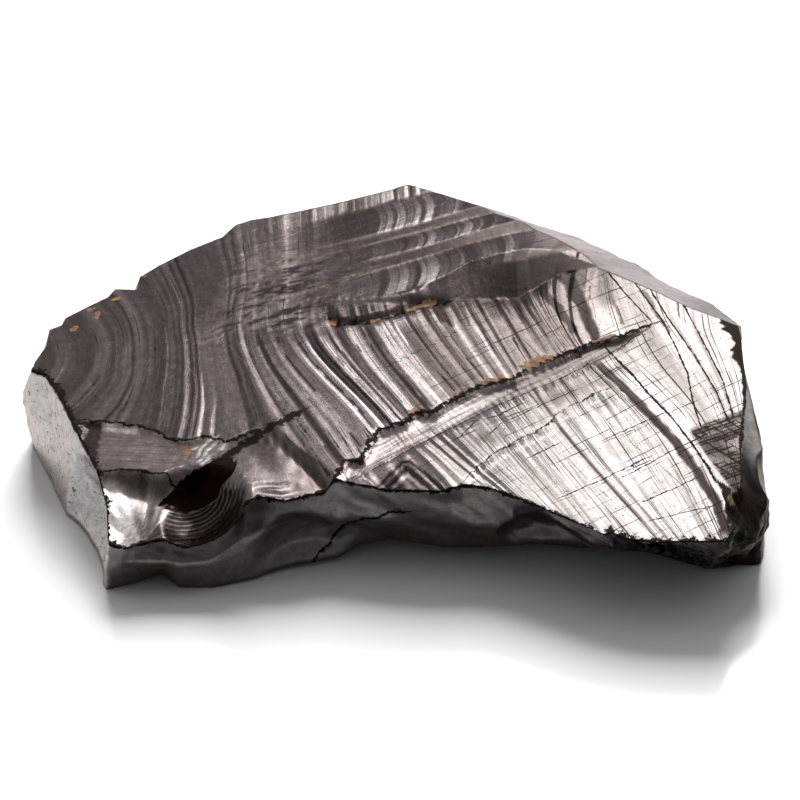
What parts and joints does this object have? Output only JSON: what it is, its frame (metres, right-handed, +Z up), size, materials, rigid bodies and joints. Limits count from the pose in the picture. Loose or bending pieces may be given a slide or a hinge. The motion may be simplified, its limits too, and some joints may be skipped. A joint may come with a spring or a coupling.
{
  "type": "shungite stone",
  "caption": "One loose lump of glassy black shungite with a ribbed, shell-shaped fracture face on top, sloping to a low front rim, and a flat patch underneath to lie on",
  "frame": {"origin": "middle of the bounding box at its bottom, on the surface that the stone lies on", "axes": "+X to the right along the longest extent, +Y from the low front rim to the high rear rim, +Z up along the thickness"},
  "size_m": [0.0734, 0.0626, 0.0187],
  "materials": {
    "shungite": "glossy black natural fracture with a metallic lustre and thin ochre films in the cracks"
  },
  "bodies": {
    "root": {"stone": "shungite"}
  },
  "joints": []
}
